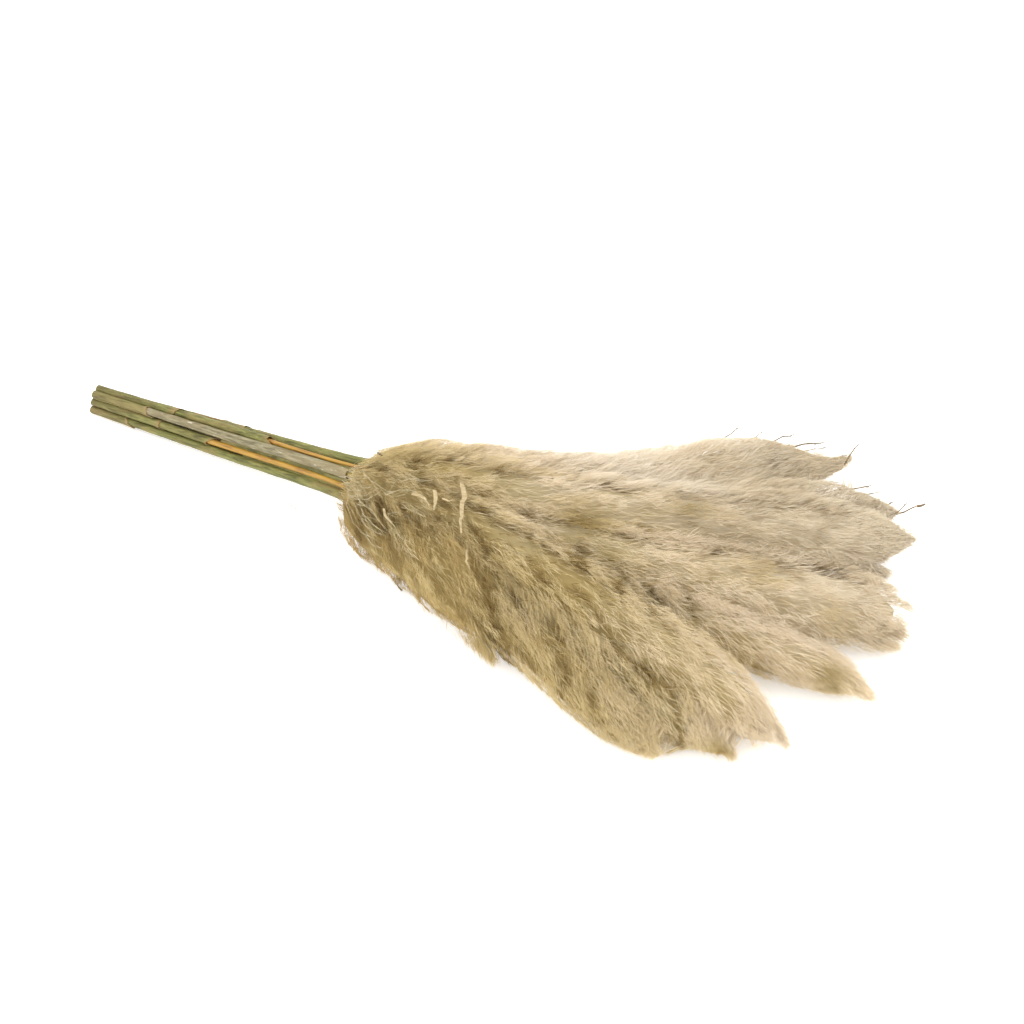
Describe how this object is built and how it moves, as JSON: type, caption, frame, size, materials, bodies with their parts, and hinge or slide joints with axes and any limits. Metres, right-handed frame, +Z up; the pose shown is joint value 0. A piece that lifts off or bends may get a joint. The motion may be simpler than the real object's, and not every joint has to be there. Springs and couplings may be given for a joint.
{
  "type": "bundle of pampas grass",
  "caption": "Loose bundle of dried pampas grass lying down: sheathed green stems packed together, fanning out into wide feathery beige plumes.",
  "frame": {"origin": "middle of the bundle's footprint, on the surface it lies on", "axes": "+X along the bundle from the cut ends to the plume tips, +Y across the fan to the far side, +Z up"},
  "size_m": [0.9092, 0.425, 0.1038],
  "materials": {
    "stem": "smooth glossy straw culm, honey yellow",
    "sheath": "dry leaf sheath, olive green with fine lengthwise ribs, satin",
    "plume": "soft silky fluff, cream and beige, tan in the depths"
  },
  "bodies": {
    "root": {"stem_01": "stem", "lower_sheath_01": "sheath", "upper_sheath_01": "sheath", "plume_01": "plume", "stem_02": "stem", "lower_sheath_02": "sheath", "upper_sheath_02": "sheath", "plume_02": "plume", "stem_03": "stem", "lower_sheath_03": "sheath", "upper_sheath_03": "sheath", "plume_03": "plume", "stem_04": "stem", "lower_sheath_04": "sheath", "upper_sheath_04": "sheath", "plume_04": "plume", "stem_05": "stem", "lower_sheath_05": "sheath", "upper_sheath_05": "sheath", "plume_05": "plume", "stem_06": "stem", "lower_sheath_06": "sheath", "upper_sheath_06": "sheath", "plume_06": "plume", "stem_07": "stem", "lower_sheath_07": "sheath", "upper_sheath_07": "sheath", "plume_07": "plume", "stem_08": "stem", "lower_sheath_08": "sheath", "upper_sheath_08": "sheath", "plume_08": "plume", "stem_09": "stem", "lower_sheath_09": "sheath", "upper_sheath_09": "sheath", "plume_09": "plume"}
  },
  "joints": []
}
